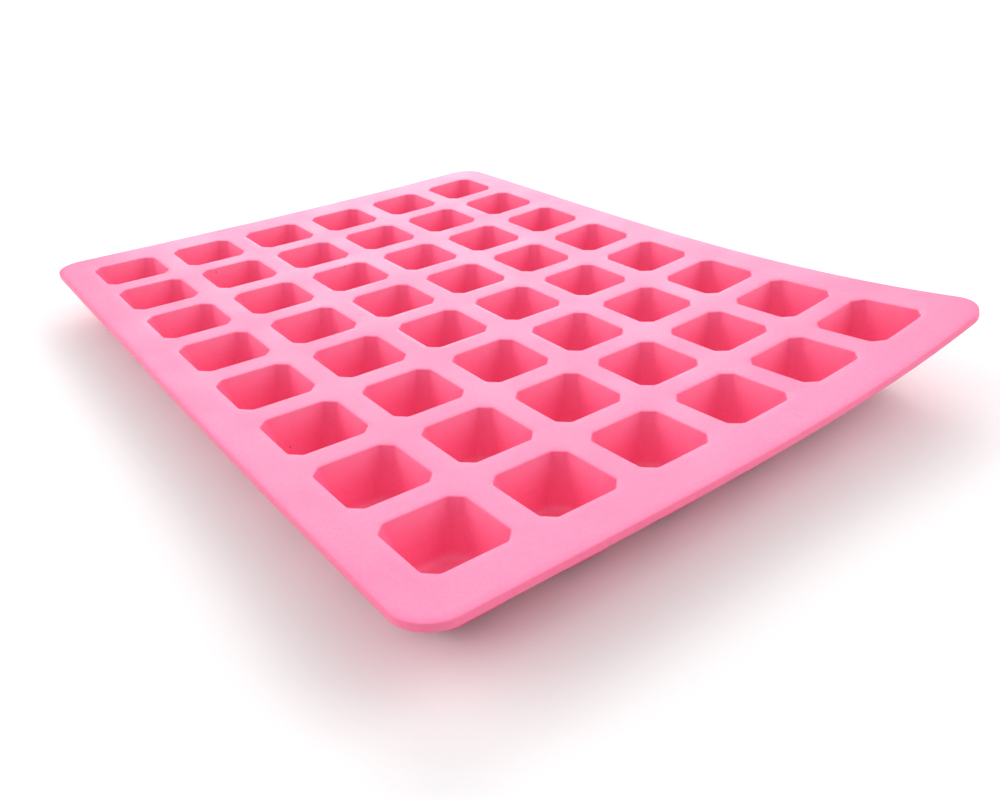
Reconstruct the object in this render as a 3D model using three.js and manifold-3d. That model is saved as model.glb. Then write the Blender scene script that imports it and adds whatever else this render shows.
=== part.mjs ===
// A one-piece silicone mould tray with square chamfered cavities, in millimetres, +Z up.
// X runs across the tray's short side, Y along its long side, and the middle cups stand on z = 0.
import * as THREE from "three";
import { ConvexGeometry } from "three/addons/geometries/ConvexGeometry.js";
import { mergeVertices } from "three/addons/utils/BufferGeometryUtils.js";
import Module from "manifold-3d";

// Layout of the cavities
const COLUMNS = 6;
const ROWS = 8;
const PITCH = 27;

// One cavity, measured at the top of the sheet
const OPENING = 20;
const MOUTH_CHAMFER = 2.5;
const FLOOR_CHAMFER = 3.6;
const CAVITY_DEPTH = 13.4;
const DRAFT = THREE.MathUtils.degToRad(5);
const CAVITY_FLOOR_RADIUS = 2;

// The walls of the moulding
const TRAY_HEIGHT = 14.8;
const CUP_WALL = 1.6;
const CUP_BASE_RADIUS = 3;
const ROUNDING_STEPS = 2;

// The flat sheet that joins the cups
const SHEET_THICKNESS = 2;
const MARGIN_ACROSS = 10;
const MARGIN_ALONG = 11.6;
const SHEET_CORNER_RADIUS = 9;
const SHEET_CORNER_STEPS = 6;
const FACET_LENGTH = 12.3;
const CUPS_PER_PANEL = 2;

// How far each corner of the soft sheet curls up, and where the curl begins
const LIFT_LOW_X_LOW_Y = 3.9;
const LIFT_HIGH_X_LOW_Y = 11.5;
const LIFT_HIGH_X_HIGH_Y = 2.2;
const LIFT_LOW_X_HIGH_Y = 1.2;
const FLAT_SHARE = 0.25;
const CURL_POWER = 2;

// Silicone
const SILICONE_COLOUR = "#f79fc2";
const SILICONE_ROUGHNESS = 0.45;

// Sizes worked out from those above
const HALF_WIDTH = ((COLUMNS - 1) * PITCH + OPENING) / 2 + MARGIN_ACROSS;
const HALF_LENGTH = ((ROWS - 1) * PITCH + OPENING) / 2 + MARGIN_ALONG;
const CUTTER_REACH = 1;
const OUTLINE_REACH = LIFT_HIGH_X_LOW_Y + SHEET_THICKNESS;
const SLOPE_STEP = 0.01;
const MERGE_DISTANCE = 1e-5;
// How much shorter each leg of a 45 degree corner cut gets when every side moves in by one
const LEG_PER_INSET = 2 - Math.SQRT2;

const wasm = await Module();
wasm.setup();

// Height of the curled sheet's top over the flat middle, at a place on the tray.
function sheetLift(x, y) {
  const u = x / HALF_WIDTH;
  const v = y / HALF_LENGTH;
  const blend =
    (LIFT_LOW_X_LOW_Y * (1 - u) * (1 - v) +
      LIFT_HIGH_X_LOW_Y * (1 + u) * (1 - v) +
      LIFT_HIGH_X_HIGH_Y * (1 + u) * (1 + v) +
      LIFT_LOW_X_HIGH_Y * (1 - u) * (1 + v)) /
    4;
  const reach = Math.sqrt((u * u + v * v) / 2);
  const past = Math.max(0, reach - FLAT_SHARE) / (1 - FLAT_SHARE);
  return blend * past ** CURL_POWER;
}

// The frame that rides on the curled sheet's top: its third axis is square to the sheet.
function sheetFrame(x, y) {
  const slopeX = (sheetLift(x + SLOPE_STEP, y) - sheetLift(x - SLOPE_STEP, y)) / (2 * SLOPE_STEP);
  const slopeY = (sheetLift(x, y + SLOPE_STEP) - sheetLift(x, y - SLOPE_STEP)) / (2 * SLOPE_STEP);
  const across = new THREE.Vector3(1, 0, slopeX).normalize();
  const normal = new THREE.Vector3(-slopeX, -slopeY, 1).normalize();
  const along = new THREE.Vector3().crossVectors(normal, across);
  const frame = new THREE.Matrix4().makeBasis(across, along, normal);
  return frame.setPosition(x, y, TRAY_HEIGHT + sheetLift(x, y));
}

// Moves each point of flat geometry, whose z is the height over the sheet's top, onto the curl.
function curled(geometry) {
  const at = geometry.attributes.position;
  const point = new THREE.Vector3();
  for (let i = 0; i < at.count; i += 1) {
    point.set(0, 0, at.getZ(i)).applyMatrix4(sheetFrame(at.getX(i), at.getY(i)));
    at.setXYZ(i, point.x, point.y, point.z);
  }
  return geometry;
}

function toSolid(geometry) {
  const plain = geometry.clone();
  plain.deleteAttribute("normal");
  plain.deleteAttribute("uv");
  const merged = mergeVertices(plain, MERGE_DISTANCE);
  const mesh = new wasm.Mesh({
    numProp: 3,
    vertProperties: new Float32Array(merged.attributes.position.array),
    triVerts: new Uint32Array(merged.index.array),
  });
  return new wasm.Manifold(mesh);
}

function toGeometry(solid) {
  const mesh = solid.getMesh();
  const geometry = new THREE.BufferGeometry();
  geometry.setAttribute("position", new THREE.BufferAttribute(mesh.vertProperties, 3));
  geometry.setIndex(new THREE.BufferAttribute(mesh.triVerts, 1));
  const flatShaded = geometry.toNonIndexed();
  flatShaded.computeVertexNormals();
  return flatShaded;
}

// The eight corners of a square whose corners are cut off at 45 degrees.
function chamferedSquare(side, leg, z) {
  const flat = side - leg;
  const corners = [];
  for (const [signX, signY] of [[1, 1], [-1, 1], [-1, -1], [1, -1]]) {
    corners.push(new THREE.Vector3(signX * side, signY * flat, z));
    corners.push(new THREE.Vector3(signX * flat, signY * side, z));
  }
  return corners;
}

// A drafted block with a chamfered square plan and a rounded bottom edge, hanging from z = 0.
// It is a cavity grown by wall on every side, and its top is cut off or raised to topZ.
function draftedBlock(wall, depth, topZ, bottomRadius) {
  const slope = Math.tan(DRAFT);
  const legSlope = (FLOOR_CHAMFER - MOUTH_CHAMFER) / CAVITY_DEPTH;
  const level = (down, z, extraInset) => {
    const side = OPENING / 2 + wall - down * slope - extraInset;
    const leg = MOUTH_CHAMFER + down * legSlope + (wall - extraInset) * LEG_PER_INSET;
    return chamferedSquare(side, leg, z);
  };
  const points = level(-topZ, topZ, 0);
  const arcStart = depth - bottomRadius;
  for (let step = 0; step <= ROUNDING_STEPS; step += 1) {
    const turn = (step / ROUNDING_STEPS) * (Math.PI / 2);
    const bottomZ = -arcStart - bottomRadius * Math.sin(turn);
    points.push(...level(arcStart, bottomZ, bottomRadius * (1 - Math.cos(turn))));
  }
  return new ConvexGeometry(points);
}

function roundedOutline() {
  const points = [];
  const centreX = HALF_WIDTH - SHEET_CORNER_RADIUS;
  const centreY = HALF_LENGTH - SHEET_CORNER_RADIUS;
  const centres = [[centreX, centreY], [-centreX, centreY], [-centreX, -centreY], [centreX, -centreY]];
  centres.forEach(([x, y], corner) => {
    for (let step = 0; step <= SHEET_CORNER_STEPS; step += 1) {
      const angle = (corner + step / SHEET_CORNER_STEPS) * (Math.PI / 2);
      const offset = new THREE.Vector2(Math.cos(angle), Math.sin(angle));
      points.push(offset.multiplyScalar(SHEET_CORNER_RADIUS).add(new THREE.Vector2(x, y)));
    }
    const from = points[points.length - 1];
    const next = centres[(corner + 1) % centres.length];
    const turned = ((corner + 1) * Math.PI) / 2;
    const to = new THREE.Vector2(Math.cos(turned), Math.sin(turned));
    to.multiplyScalar(SHEET_CORNER_RADIUS).add(new THREE.Vector2(...next));
    const pieces = Math.ceil(from.distanceTo(to) / FACET_LENGTH);
    for (let step = 1; step < pieces; step += 1) {
      points.push(from.clone().lerp(to, step / pieces));
    }
  });
  return points;
}

function uncutSheet() {
  const width = 2 * HALF_WIDTH + 2 * FACET_LENGTH;
  const length = 2 * HALF_LENGTH + 2 * FACET_LENGTH;
  const slab = new THREE.BoxGeometry(
    width,
    length,
    SHEET_THICKNESS,
    Math.round(width / FACET_LENGTH),
    Math.round(length / FACET_LENGTH),
    1,
  );
  slab.translate(0, 0, -SHEET_THICKNESS / 2);
  const prism = new THREE.ExtrudeGeometry(new THREE.Shape(roundedOutline()), {
    depth: SHEET_THICKNESS + 2 * OUTLINE_REACH,
    bevelEnabled: false,
  });
  prism.translate(0, 0, -SHEET_THICKNESS - OUTLINE_REACH);
  return toSolid(curled(slab)).intersect(toSolid(curled(prism)));
}

const cavityBlock = draftedBlock(0, CAVITY_DEPTH, CUTTER_REACH, CAVITY_FLOOR_RADIUS);
const cupBlock = draftedBlock(CUP_WALL, TRAY_HEIGHT, -SHEET_THICKNESS / 2, CUP_BASE_RADIUS);

const tray = new THREE.Group();
tray.name = "mould_tray";
const cups = new THREE.Group();
cups.name = "cups";
tray.add(cups);

function siliconeMesh(name, solid) {
  const silicone = new THREE.MeshStandardMaterial({
    color: SILICONE_COLOUR,
    roughness: SILICONE_ROUGHNESS,
    metalness: 0,
  });
  const mesh = new THREE.Mesh(toGeometry(solid), silicone);
  mesh.name = name;
  return mesh;
}

// Each cup is a drafted shell that hangs square to the sheet and ends at its underside.
const sheetWhole = uncutSheet();
const cavity = toSolid(cavityBlock);
const shell = toSolid(cupBlock).subtract(cavity);
let sheet = sheetWhole;
for (let column = 1; column <= COLUMNS; column += 1) {
  for (let row = 1; row <= ROWS; row += 1) {
    const x = (column - (COLUMNS + 1) / 2) * PITCH;
    const y = (row - (ROWS + 1) / 2) * PITCH;
    const place = sheetFrame(x, y);
    const sheetFromCup = sheetWhole.transform(place.clone().invert().elements);
    const cup = siliconeMesh(`cup_${column}_${row}`, shell.subtract(sheetFromCup));
    cup.applyMatrix4(place);
    cups.add(cup);
    sheet = sheet.subtract(cavity.transform(place.elements));
  }
}

// Cuts a solid across a direction into bands of equal width; the outer bands keep what lies beyond.
function bands(solid, direction, count, width) {
  const made = [];
  let rest = solid;
  for (let i = 1; i < count; i += 1) {
    const [ahead, behind] = rest.splitByPlane(direction, (i - count / 2) * width);
    made.push(behind);
    rest = ahead;
  }
  made.push(rest);
  return made;
}

// The sheet is one piece in the moulding; panels of two by two mouths keep every mouth open on its own.
const panelWidth = CUPS_PER_PANEL * PITCH;
bands(sheet, [1, 0, 0], COLUMNS / CUPS_PER_PANEL, panelWidth).forEach((band, i) => {
  bands(band, [0, 1, 0], ROWS / CUPS_PER_PANEL, panelWidth).forEach((panel, j) => {
    tray.add(siliconeMesh(`sheet_${i + 1}_${j + 1}`, panel));
  });
});

export default tray;
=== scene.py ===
import math

import bpy
import numpy as np
from mathutils import Matrix, Vector


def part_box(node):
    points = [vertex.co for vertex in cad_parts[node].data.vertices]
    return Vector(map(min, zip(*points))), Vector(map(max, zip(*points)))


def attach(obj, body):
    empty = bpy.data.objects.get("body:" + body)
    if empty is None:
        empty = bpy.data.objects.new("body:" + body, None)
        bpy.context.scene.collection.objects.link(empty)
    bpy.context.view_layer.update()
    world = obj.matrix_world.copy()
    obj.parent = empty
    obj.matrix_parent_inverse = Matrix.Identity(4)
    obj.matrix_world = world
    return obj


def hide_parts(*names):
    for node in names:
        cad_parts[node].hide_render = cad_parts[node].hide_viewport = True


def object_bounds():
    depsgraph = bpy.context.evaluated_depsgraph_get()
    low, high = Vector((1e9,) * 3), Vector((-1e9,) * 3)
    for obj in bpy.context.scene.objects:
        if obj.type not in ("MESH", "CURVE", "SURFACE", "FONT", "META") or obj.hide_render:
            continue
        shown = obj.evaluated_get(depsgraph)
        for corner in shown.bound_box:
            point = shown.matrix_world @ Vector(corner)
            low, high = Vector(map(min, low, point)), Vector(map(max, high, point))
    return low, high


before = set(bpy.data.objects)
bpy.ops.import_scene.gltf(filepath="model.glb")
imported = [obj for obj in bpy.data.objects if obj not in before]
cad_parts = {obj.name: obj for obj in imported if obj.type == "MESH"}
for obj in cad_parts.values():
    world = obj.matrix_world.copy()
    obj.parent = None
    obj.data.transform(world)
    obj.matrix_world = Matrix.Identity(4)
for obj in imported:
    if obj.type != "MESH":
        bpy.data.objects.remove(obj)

MM = 0.001
cad_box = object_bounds()

# How much shorter each leg of a 45 degree corner cut gets when every side moves in by one
LEG_PER_INSET = 2 - math.sqrt(2)

# Cavities
OPENING = 20.0
MOUTH_CHAMFER = 2.5
FLOOR_CHAMFER = 3.6
MOUTH_EDGE_RADIUS = 1.3
FLOOR_EDGE_RADIUS = 2.8
LEAST_EDGE_RADIUS = 0.3
CAVITY_DEPTH = 13.4
DRAFT = math.radians(5)
RIM_RADIUS = 0.35
CAVITY_FLOOR_RADIUS = 2.0

# Walls and sheet
TRAY_HEIGHT = 14.8
CUP_WALL = 1.6
CUP_BASE_RADIUS = 3.0
UNDER_FILLET = 0.9
SHEET_THICKNESS = 2.0
MARGIN_ACROSS = 10.0
MARGIN_ALONG = 11.6
SHEET_CORNER_RADIUS = 9.0
SHEET_EDGE_RADIUS = 0.3

# How far each corner of the soft sheet curls up, and where the curl begins
LIFT_LOW_X_LOW_Y = 3.9
LIFT_HIGH_X_LOW_Y = 11.5
LIFT_HIGH_X_HIGH_Y = 2.2
LIFT_LOW_X_HIGH_Y = 1.2
FLAT_SHARE = 0.25
CURL_POWER = 2
SLOPE_STEP = 0.01
STIFF_BELOW = 4.0

# Mesh fineness: segments of an eighth of a ring, and of each rounding
FLAT_SEGMENTS = 2
ARC_SEGMENTS = 5
CHAMFER_SEGMENTS = 1
RIM_STEPS = 3
ROUNDING_STEPS = 4
WALL_STEPS = 3
WEB_SHARE = 0.55
FLOOR_SHARES = (0.55, 0)
MARGIN_SHARES = (0, 0.35, 0.7)
MERGE_GRID = 1e4

# Silicone: colours, the sizes of its patterns, and how strongly each shows. The paler colour under the
# rims is painted light that stands in for light shining through the thin rims: the material lets no light
# through.
DEEP_PINK = (0.910, 0.152, 0.306)
PALE_PINK = (0.920, 0.178, 0.342)
MOTTLE_PINK = (0.880, 0.120, 0.255)
# Paler convex edges: partly wear, partly a painted highlight along the rims
WORN_AND_HIGHLIGHT_PINK = (0.940, 0.290, 0.440)
# Painted light: paler walls under the rims stand in for light shining through the thin silicone
PAINTED_GLOW_PINK = (0.930, 0.330, 0.500)
PAINTED_GLOW_DEPTH = 7.0
PAINTED_GLOW_FADE = 2.0
PAINTED_GLOW_SHARE = 0.40
TOLERANCE = 0.01
SPECK_COLOUR = (0.300, 0.100, 0.140)
NOISE_RANGE = (0.35, 0.65)
CLOUD_SIZE = 45.0
MOTTLE_SIZE = 0.9
MOTTLE_SHARE = 0.35
WORN_AND_HIGHLIGHT_RANGE = (0.52, 0.62)
WORN_AND_HIGHLIGHT_SHARE = 0.55
SPECK_SPACING = 13.3
SPECK_RANGE = (0.018, 0.030)
SPECK_SHARE = 0.6
GLOSS_PATCH_SIZE = 17.0
ROUGHNESS_RANGE = (0.41, 0.51)
GRAIN_SIZE = 0.67
GRAIN_DEPTH = 0.06
GRAIN_ROUGHNESS = 0.6
GRAIN_STRENGTH = 0.35
RIPPLE_SIZE = 11.0
RIPPLE_DEPTH = 0.25
RIPPLE_STRENGTH = 0.6
SILICONE_IOR = 1.41

# Studio, in metres and watts: name, place, aim, side and power of each light
FLOOR_COLOUR = (0.78, 0.78, 0.78, 1)
FLOOR_ROUGHNESS = 0.9
FLOOR_SPECULAR = 0.1
FLOOR_REACH = 12.0
SKY_STRENGTH = 0.44
LIGHTS = (
    ("overhead", (0.2, 0.3, 4.0), (0.2, 0.3, 0), 8.0, 88),
    ("left_softbox", (-1.1, 0.72, 0.92), (0, 0, 0), 1.2, 14),
    ("right_softbox", (1.1, -0.72, 0.92), (0, 0, 0), 1.2, 14),
    ("back_softbox", (0.8, 1.2, 0.8), (0, 0, 0), 1.4, 20),
)

# Camera, placed and aimed in millimetres
CAMERA_PLACE = Vector((-136.5, -209.1, 119.5)) * MM
CAMERA_AIM = Vector((-26.6, -57.7, 14.8)) * MM
CAMERA_ROLL = math.radians(-2.48)
CAMERA_LENS = 32.0
CAMERA_SENSOR = 36
CAMERA_CLIP_START = 0.01


def grid_of_cups():
    """Columns, rows and pitch of the cups, from the CAD nodes' names and boxes."""
    numbers = [tuple(map(int, name.split("_")[1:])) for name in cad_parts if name.startswith("cup_")]
    columns, rows = (max(n[axis] for n in numbers) for axis in (0, 1))
    low, high = f"cup_{columns // 2}_{rows // 2}", f"cup_{columns // 2 + 1}_{rows // 2}"
    centres = [sum(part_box(name), Vector()) / 2 for name in (low, high)]
    return columns, rows, round((centres[1].x - centres[0].x) / MM, 2)


COLUMNS, ROWS, PITCH = grid_of_cups()
HALF_WIDTH = ((COLUMNS - 1) * PITCH + OPENING) / 2 + MARGIN_ACROSS
HALF_LENGTH = ((ROWS - 1) * PITCH + OPENING) / 2 + MARGIN_ALONG
CELLS_HALF_WIDTH = COLUMNS * PITCH / 2
CELLS_HALF_LENGTH = ROWS * PITCH / 2


# ---- The curl of the sheet ----

def sheet_lift(x, y):
    """Height of the curled sheet's top over its flat middle."""
    u = x / HALF_WIDTH
    v = y / HALF_LENGTH
    corners = (
        LIFT_LOW_X_LOW_Y * (1 - u) * (1 - v)
        + LIFT_HIGH_X_LOW_Y * (1 + u) * (1 - v)
        + LIFT_HIGH_X_HIGH_Y * (1 + u) * (1 + v)
        + LIFT_LOW_X_HIGH_Y * (1 - u) * (1 + v)
    ) / 4
    reach = np.sqrt((u * u + v * v) / 2)
    past = np.maximum(0, reach - FLAT_SHARE) / (1 - FLAT_SHARE)
    return corners * past**CURL_POWER


def sheet_axes(x, y):
    """Unit vectors across, along and square to the curled sheet, one row per point."""
    slope_x = (sheet_lift(x + SLOPE_STEP, y) - sheet_lift(x - SLOPE_STEP, y)) / (2 * SLOPE_STEP)
    slope_y = (sheet_lift(x, y + SLOPE_STEP) - sheet_lift(x, y - SLOPE_STEP)) / (2 * SLOPE_STEP)
    ones = np.ones_like(slope_x)
    across = np.stack([ones, 0 * ones, slope_x], axis=-1)
    normal = np.stack([-slope_x, -slope_y, ones], axis=-1)
    across /= np.linalg.norm(across, axis=-1, keepdims=True)
    normal /= np.linalg.norm(normal, axis=-1, keepdims=True)
    return across, np.cross(normal, across), normal


def on_sheet(x, y):
    return np.stack([x, y, TRAY_HEIGHT + sheet_lift(x, y)], axis=-1)


def settled(flat, centres):
    """Flat points onto the curl: the sheet bends, and each cup stays stiff and tilts about its centre."""
    x, y, z = flat.T
    bent = on_sheet(x, y) + sheet_axes(x, y)[2] * z[:, None]
    across, along, normal = sheet_axes(*centres.T)
    stiff = on_sheet(*centres.T)
    stiff = stiff + across * (x - centres[:, 0])[:, None] + along * (y - centres[:, 1])[:, None]
    stiff = stiff + normal * z[:, None]
    share = np.clip((-z - SHEET_THICKNESS) / STIFF_BELOW, 0, 1)[:, None]
    share = share * share * (3 - 2 * share)
    return bent * (1 - share) + stiff * share


# ---- Rings of points ----

def eighth(half, leg, radius):
    """From the middle of a side to the middle of the cut corner, with the edge between them rounded."""
    tangent = radius * math.tan(math.pi / 8)
    straight = half - leg - tangent
    points = [(half, straight * i / FLAT_SEGMENTS) for i in range(FLAT_SEGMENTS)]
    for i in range(ARC_SEGMENTS):
        angle = i / ARC_SEGMENTS * math.pi / 4
        points.append((half - radius + radius * math.cos(angle), straight + radius * math.sin(angle)))
    start = np.array([half - tangent * math.sqrt(0.5), half - leg + tangent * math.sqrt(0.5)])
    middle = np.array([half - leg / 2, half - leg / 2])
    points += [start + (middle - start) * i / CHAMFER_SEGMENTS for i in range(CHAMFER_SEGMENTS + 1)]
    return np.array(points)


def full_ring(part):
    """A closed ring, anticlockwise from above, out of the eighth that starts on the +X side."""
    mirrored = part[::-1, ::-1]
    quarter = np.concatenate([part, mirrored[1:-1]])
    quarter = np.concatenate([quarter, [part[0][::-1]]])[:-1]
    turns = []
    for turn in range(4):
        c, s = round(math.cos(turn * math.pi / 2)), round(math.sin(turn * math.pi / 2))
        turns.append(quarter @ np.array([[c, s], [-s, c]]))
    return np.concatenate(turns)


def cut_square(down, wall=0.0, inset=0.0):
    """A cavity's outline at a depth, grown by wall on every side and then moved in by inset."""
    share = down / CAVITY_DEPTH
    grown = wall - inset
    half = OPENING / 2 - down * math.tan(DRAFT) + grown
    leg = MOUTH_CHAMFER + (FLOOR_CHAMFER - MOUTH_CHAMFER) * share + grown * LEG_PER_INSET
    radius = MOUTH_EDGE_RADIUS + (FLOOR_EDGE_RADIUS - MOUTH_EDGE_RADIUS) * share + grown
    return full_ring(eighth(half, leg, max(radius, LEAST_EDGE_RADIUS)))


def side_shares():
    """Where an eighth's points fall along half a side of the square cell, from 0 to 1."""
    part = eighth(OPENING / 2, MOUTH_CHAMFER, MOUTH_EDGE_RADIUS)
    run = np.concatenate([[0], np.cumsum(np.linalg.norm(np.diff(part, axis=0), axis=1))])
    return run / run[-1]


SHARES = side_shares()
CELL_RING = full_ring(np.stack([np.full(len(SHARES), PITCH / 2), SHARES * PITCH / 2], axis=-1))


def at_height(ring, z):
    return np.column_stack([ring, np.full(len(ring), z)])


def block_rings(top, bottom, radius, wall):
    """Rings down a drafted block's side from one depth to another, and round its bottom edge."""
    arc_start = bottom - radius
    rings = []
    for i in range(1, WALL_STEPS):
        down = top + (arc_start - top) * i / WALL_STEPS
        rings.append(at_height(cut_square(down, wall), -down))
    for i in range(ROUNDING_STEPS + 1):
        turn = i / ROUNDING_STEPS * math.pi / 2
        outline = cut_square(arc_start, wall, radius * (1 - math.cos(turn)))
        rings.append(at_height(outline, -arc_start - radius * math.sin(turn)))
    return rings + floor_rings(rings[-1])


def floor_rings(edge):
    """A ring part way in and the centre point that close a floor."""
    return [np.column_stack([edge[:, :2] * share, edge[:, 2]]) for share in FLOOR_SHARES]


def cavity_rings():
    """From the cell's edge over the rim, down the wall and across the cavity's floor."""
    lip = cut_square(0, RIM_RADIUS)
    rings = [at_height(CELL_RING, 0), at_height(CELL_RING + (lip - CELL_RING) * WEB_SHARE, 0)]
    for i in range(RIM_STEPS + 1):
        turn = i / RIM_STEPS * math.pi / 2
        outline = cut_square(0, RIM_RADIUS * (1 - math.sin(turn)))
        rings.append(at_height(outline, -RIM_RADIUS * (1 - math.cos(turn))))
    return rings + block_rings(RIM_RADIUS, CAVITY_DEPTH, CAVITY_FLOOR_RADIUS, 0)


def cup_rings():
    """From the cell's edge on the sheet's underside, down the cup's outside and across its base."""
    rings = [at_height(CELL_RING, -SHEET_THICKNESS)]
    top = SHEET_THICKNESS + UNDER_FILLET
    for i in range(RIM_STEPS + 1):
        turn = i / RIM_STEPS * math.pi / 2
        outline = cut_square(top, CUP_WALL + UNDER_FILLET * (1 - math.sin(turn)))
        rings.append(at_height(outline, -top + UNDER_FILLET * math.cos(turn)))
    return rings + block_rings(top, TRAY_HEIGHT, CUP_BASE_RADIUS, CUP_WALL)


# ---- The margin round the grid of cells ----

def side_points(cells):
    """Each ring point along a side of the grid: its distance from the side's middle, and its steps past
    the last cup's centre, negative at the side's low end."""
    last = len(SHARES) - 1
    points = []
    for cell in range(cells):
        for step in range(-last, last):
            place = math.copysign(SHARES[abs(step)], step) * PITCH / 2 + (cell - (cells - 1) / 2) * PITCH
            past = step if (cell == 0 and step < 0) or (cell == cells - 1 and step > 0) else 0
            points.append((place, past))
    return points


def margin_loop(inset, z, share=1.0):
    """A loop round the tray at the sheet's outline moved in by inset, or part way to it from the grid."""
    radius = SHEET_CORNER_RADIUS - inset
    arc_steps = len(SHARES) - 1 - FLAT_SEGMENTS
    points = []
    for turn in range(4):
        if turn % 2 == 0:
            cells, near, far, grid_edge = ROWS, HALF_WIDTH, HALF_LENGTH, CELLS_HALF_WIDTH
        else:
            cells, near, far, grid_edge = COLUMNS, HALF_LENGTH, HALF_WIDTH, CELLS_HALF_LENGTH
        last_centre = (cells - 1) / 2 * PITCH
        straight = far - SHEET_CORNER_RADIUS - last_centre
        c, s = round(math.cos(turn * math.pi / 2)), round(math.sin(turn * math.pi / 2))
        for place, past in side_points(cells):
            angle = max(0, abs(past) - FLAT_SEGMENTS) / arc_steps * math.pi / 4
            out = near - SHEET_CORNER_RADIUS + radius * math.cos(angle)
            along = place
            if past:
                run = straight * min(1, abs(past) / FLAT_SEGMENTS)
                along = math.copysign(last_centre + run + radius * math.sin(angle), past)
            x = grid_edge + (out - grid_edge) * share
            y = place + (along - place) * share
            points.append((x * c - y * s, x * s + y * c, z))
    return np.array(points)


def margin_rings():
    """From the grid over the sheet's rounded edge and back to the grid underneath."""
    rings = [margin_loop(0, 0, share) for share in MARGIN_SHARES]
    for side, level in ((0, 0), (1, -SHEET_THICKNESS)):
        for i in range(RIM_STEPS + 1):
            turn = (i / RIM_STEPS + side) * math.pi / 2
            inset = SHEET_EDGE_RADIUS * (1 - math.sin(turn))
            drop = SHEET_EDGE_RADIUS * (1 - math.cos(turn) if side == 0 else -1 - math.cos(turn))
            rings.append(margin_loop(inset, level - drop))
    return rings + [margin_loop(0, -SHEET_THICKNESS, share) for share in reversed(MARGIN_SHARES)]


# ---- The mesh ----

def painted_rim_glow(points, centres):
    """How much painted light a cavity's flat walls get, in place of light shining through the thin rim: 1
    under the rim, 0 deeper, on the corner cuts and elsewhere.
    """
    depth = -points[:, 2]
    offset = np.abs(points[:, :2] - centres)
    in_cavity = (depth > TOLERANCE) & (offset.max(axis=1) <= OPENING / 2 + TOLERANCE)
    from_cut = np.clip((OPENING / 2 - MOUTH_CHAMFER - offset.min(axis=1)) / PAINTED_GLOW_FADE, 0, 1)
    return np.where(in_cavity, np.clip(1 - depth / PAINTED_GLOW_DEPTH, 0, 1) * from_cut, 0.0)


class Shell:
    """Collects bands of quads between rings, in the tray's flat state."""

    def __init__(self):
        self.points = []
        self.centres = []
        self.faces = []
        self.count = 0

    def add_rings(self, rings, centre=(0, 0), flip=False):
        width = len(rings[0])
        first = self.count
        for ring in rings:
            self.points.append(ring + np.array([*centre, 0]))
            self.centres.append(np.tile(centre, (width, 1)))
            self.count += width
        step = np.arange(width)
        ahead = (step + 1) % width
        for level in range(len(rings) - 1):
            outer = first + level * width
            inner = outer + width
            quads = np.column_stack([outer + step, outer + ahead, inner + ahead, inner + step])
            self.faces.append(quads[:, ::-1] if flip else quads)

    def merged(self):
        """Points that fall together become one, and quads that shrink to triangles or lines are trimmed."""
        points = np.concatenate(self.points)
        centres = np.concatenate(self.centres).astype(float)
        keys = np.round(points * MERGE_GRID).astype(np.int64)
        _, chosen, index = np.unique(keys, axis=0, return_index=True, return_inverse=True)
        faces = []
        for quad in index.reshape(-1)[np.concatenate(self.faces)]:
            corners = list(dict.fromkeys(quad.tolist()))
            if len(corners) > 2:
                faces.append(corners)
        flat, centres = points[chosen], centres[chosen]
        return settled(flat, centres) * MM, faces, painted_rim_glow(flat, centres)


def tray_mesh():
    shell = Shell()
    inside = cavity_rings()
    outside = cup_rings()
    for column in range(COLUMNS):
        for row in range(ROWS):
            centre = ((column - (COLUMNS - 1) / 2) * PITCH, (row - (ROWS - 1) / 2) * PITCH)
            shell.add_rings(inside, centre)
            shell.add_rings(outside, centre, flip=True)
    shell.add_rings(margin_rings(), flip=True)
    points, faces, painted_glow = shell.merged()
    mesh = bpy.data.meshes.new("mould_tray")
    mesh.from_pydata(points.tolist(), [], faces)
    # Painted light under the rims, stored at the points
    mesh.attributes.new("painted_glow", "FLOAT", "POINT").data.foreach_set("value", painted_glow)
    mesh.validate()
    mesh.shade_smooth()
    return mesh


# ---- Materials ----

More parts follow.
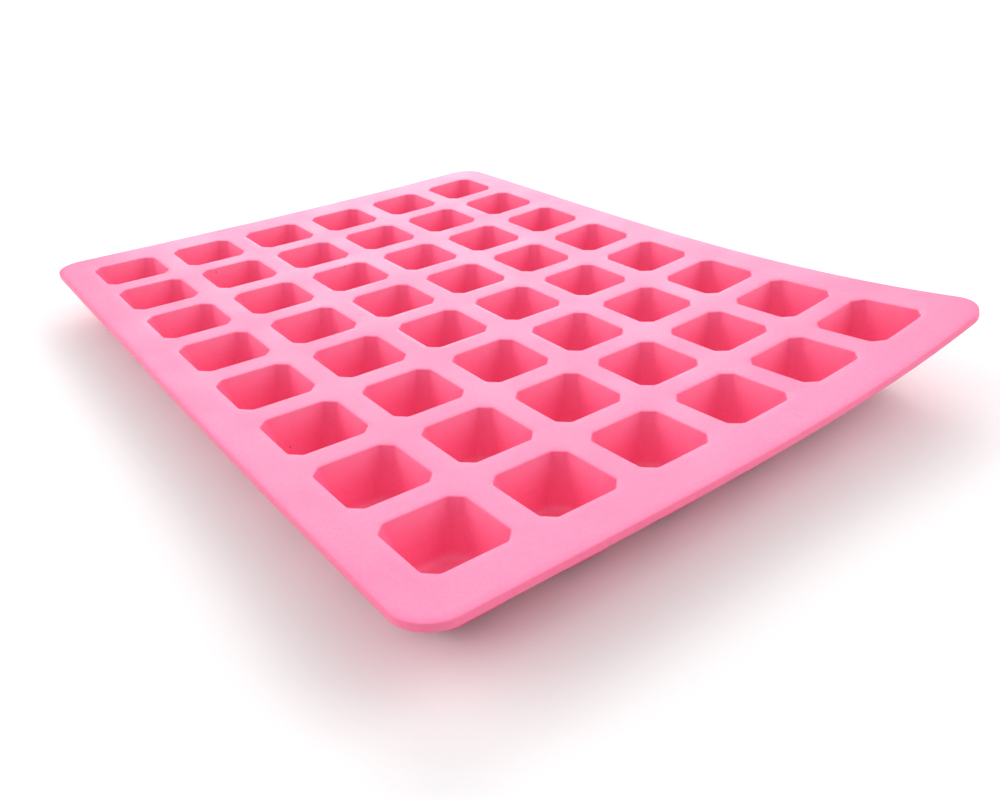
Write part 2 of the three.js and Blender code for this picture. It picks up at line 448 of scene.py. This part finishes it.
class Look:
    """A Principled material whose patterns are laid out in the object's own space."""

    def __init__(self, name):
        self.material = bpy.data.materials.new(name)
        self.material.use_nodes = True
        self.nodes = self.material.node_tree.nodes
        self.link = self.material.node_tree.links.new
        self.shader = self.nodes["Principled BSDF"]
        self.coords = self.nodes.new("ShaderNodeTexCoord").outputs["Object"]

    def fixed(self, **values):
        """One value over the whole surface for each socket, named with _ for a space."""
        for name, value in values.items():
            self.shader.inputs[name.replace("_", " ")].default_value = value

    def attribute(self, name):
        """A number stored at the mesh's points."""
        node = self.nodes.new("ShaderNodeAttribute")
        node.attribute_name = name
        return node.outputs["Fac"]

    def noise(self, size, detail, roughness=0.5):
        """Soft blotches about as large as size in millimetres."""
        texture = self.nodes.new("ShaderNodeTexNoise")
        texture.inputs["Scale"].default_value = 1 / (size * MM)
        texture.inputs["Detail"].default_value = detail
        texture.inputs["Roughness"].default_value = roughness
        self.link(self.coords, texture.inputs["Vector"])
        return texture.outputs["Fac"]

    def speck_distance(self, spacing):
        """Distance from scattered points, as a share of the spacing between them in millimetres."""
        texture = self.nodes.new("ShaderNodeTexVoronoi")
        texture.inputs["Scale"].default_value = 1 / (spacing * MM)
        self.link(self.coords, texture.inputs["Vector"])
        return texture.outputs["Distance"]

    def spread(self, value, low, high, to_low, to_high):
        """Maps a value from one range to another."""
        mapped = self.nodes.new("ShaderNodeMapRange")
        mapped.inputs["From Min"].default_value = low
        mapped.inputs["From Max"].default_value = high
        mapped.inputs["To Min"].default_value = to_low
        mapped.inputs["To Max"].default_value = to_high
        self.link(value, mapped.inputs["Value"])
        return mapped.outputs["Result"]

    def mixed(self, share, first, second):
        """Two colours, each a tuple or a socket, mixed by a share."""
        mix = self.nodes.new("ShaderNodeMix")
        mix.data_type = "RGBA"
        self.link(share, mix.inputs["Factor"])
        for name, colour in (("A", first), ("B", second)):
            socket = next(s for s in mix.inputs if s.name == name and s.type == "RGBA")
            if isinstance(colour, tuple):
                socket.default_value = (*colour, 1)
            else:
                self.link(colour, socket)
        return next(s for s in mix.outputs if s.type == "RGBA")

    def bump(self, height, strength, depth, below=None):
        """A relief whose height varies by a depth in millimetres, over another relief."""
        relief = self.nodes.new("ShaderNodeBump")
        relief.inputs["Strength"].default_value = strength
        relief.inputs["Distance"].default_value = depth * MM
        self.link(height, relief.inputs["Height"])
        if below:
            self.link(below, relief.inputs["Normal"])
        return relief.outputs["Normal"]


def silicone():
    """Satin silicone: cloudy, finely mottled, with a few specks; paler along its edges as wear and painted
    highlight, and under the rims as painted light shining through.
    """
    look = Look("pink_silicone")
    clouds = look.spread(look.noise(CLOUD_SIZE, 3), *NOISE_RANGE, 0, 1)
    body = look.mixed(clouds, DEEP_PINK, PALE_PINK)
    mottle = look.spread(look.noise(MOTTLE_SIZE, 2), *NOISE_RANGE, 0, MOTTLE_SHARE)
    body = look.mixed(mottle, body, MOTTLE_PINK)
    # Paler convex edges: partly wear, partly a painted highlight along the rims
    pointiness = look.nodes.new("ShaderNodeNewGeometry").outputs["Pointiness"]
    body = look.mixed(look.spread(pointiness, *WORN_AND_HIGHLIGHT_RANGE, 0, WORN_AND_HIGHLIGHT_SHARE), body, WORN_AND_HIGHLIGHT_PINK)
    # Painted light: paler walls under the rims, in place of light shining through the thin silicone
    painted_glow = look.spread(look.attribute("painted_glow"), 0, 1, 0, PAINTED_GLOW_SHARE)
    body = look.mixed(painted_glow, body, PAINTED_GLOW_PINK)
    dust = look.spread(look.speck_distance(SPECK_SPACING), *SPECK_RANGE, SPECK_SHARE, 0)
    body = look.mixed(dust, body, SPECK_COLOUR)
    look.link(body, look.shader.inputs["Base Color"])
    gloss = look.spread(look.noise(GLOSS_PATCH_SIZE, 5), *NOISE_RANGE, *ROUGHNESS_RANGE)
    look.link(gloss, look.shader.inputs["Roughness"])
    grain = look.bump(look.noise(GRAIN_SIZE, 3, GRAIN_ROUGHNESS), GRAIN_STRENGTH, GRAIN_DEPTH)
    ripple = look.bump(look.noise(RIPPLE_SIZE, 2), RIPPLE_STRENGTH, RIPPLE_DEPTH, grain)
    look.link(ripple, look.shader.inputs["Normal"])
    look.fixed(IOR=SILICONE_IOR)
    return look.material


def studio_floor():
    look = Look("pale_floor")
    look.fixed(Base_Color=FLOOR_COLOUR, Roughness=FLOOR_ROUGHNESS, Specular_IOR_Level=FLOOR_SPECULAR)
    return look.material


# ---- The pieces ----

def add_object(name, data):
    piece = bpy.data.objects.new(name, data)
    bpy.context.scene.collection.objects.link(piece)
    return piece


def add_tray():
    mesh = tray_mesh()
    mesh.materials.append(silicone())
    tray = add_object("mould_tray", mesh)
    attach(tray, "root")
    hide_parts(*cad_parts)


def add_floor():
    mesh = bpy.data.meshes.new("floor")
    corners = [(x * FLOOR_REACH, y * FLOOR_REACH, 0) for x, y in ((-1, -1), (1, -1), (1, 1), (-1, 1))]
    mesh.from_pydata(corners, [], [(0, 1, 2, 3)])
    mesh.materials.append(studio_floor())
    floor = add_object("floor", mesh)
    floor.location.z = cad_box[0].z


# ---- Camera and light ----

def add_camera():
    data = bpy.data.cameras.new("camera")
    data.lens = CAMERA_LENS
    data.sensor_width = CAMERA_SENSOR
    data.clip_start = CAMERA_CLIP_START
    camera = add_object("camera", data)
    ahead = (CAMERA_AIM - CAMERA_PLACE).normalized()
    level = ahead.cross(Vector((0, 0, 1))).normalized()
    upright = level.cross(ahead)
    right = level * math.cos(CAMERA_ROLL) + upright * math.sin(CAMERA_ROLL)
    up = right.cross(ahead)
    turn = Matrix((right, up, -ahead)).transposed()
    camera.matrix_world = Matrix.Translation(CAMERA_PLACE) @ turn.to_4x4()
    bpy.context.scene.camera = camera


def add_lights():
    for name, place, aim, side, power in LIGHTS:
        data = bpy.data.lights.new(name, "AREA")
        data.shape = "SQUARE"
        data.size = side
        data.energy = power
        light = add_object(name, data)
        light.location = place
        light.rotation_mode = "QUATERNION"
        light.rotation_quaternion = (Vector(aim) - Vector(place)).to_track_quat("-Z", "Y")
    world = bpy.data.worlds.new("studio")
    world.use_nodes = True
    sky = world.node_tree.nodes["Background"]
    sky.inputs["Color"].default_value = (1, 1, 1, 1)
    sky.inputs["Strength"].default_value = SKY_STRENGTH
    bpy.context.scene.world = world
    bpy.context.scene.view_settings.view_transform = "Standard"


add_camera()
add_lights()
add_floor()
add_tray()
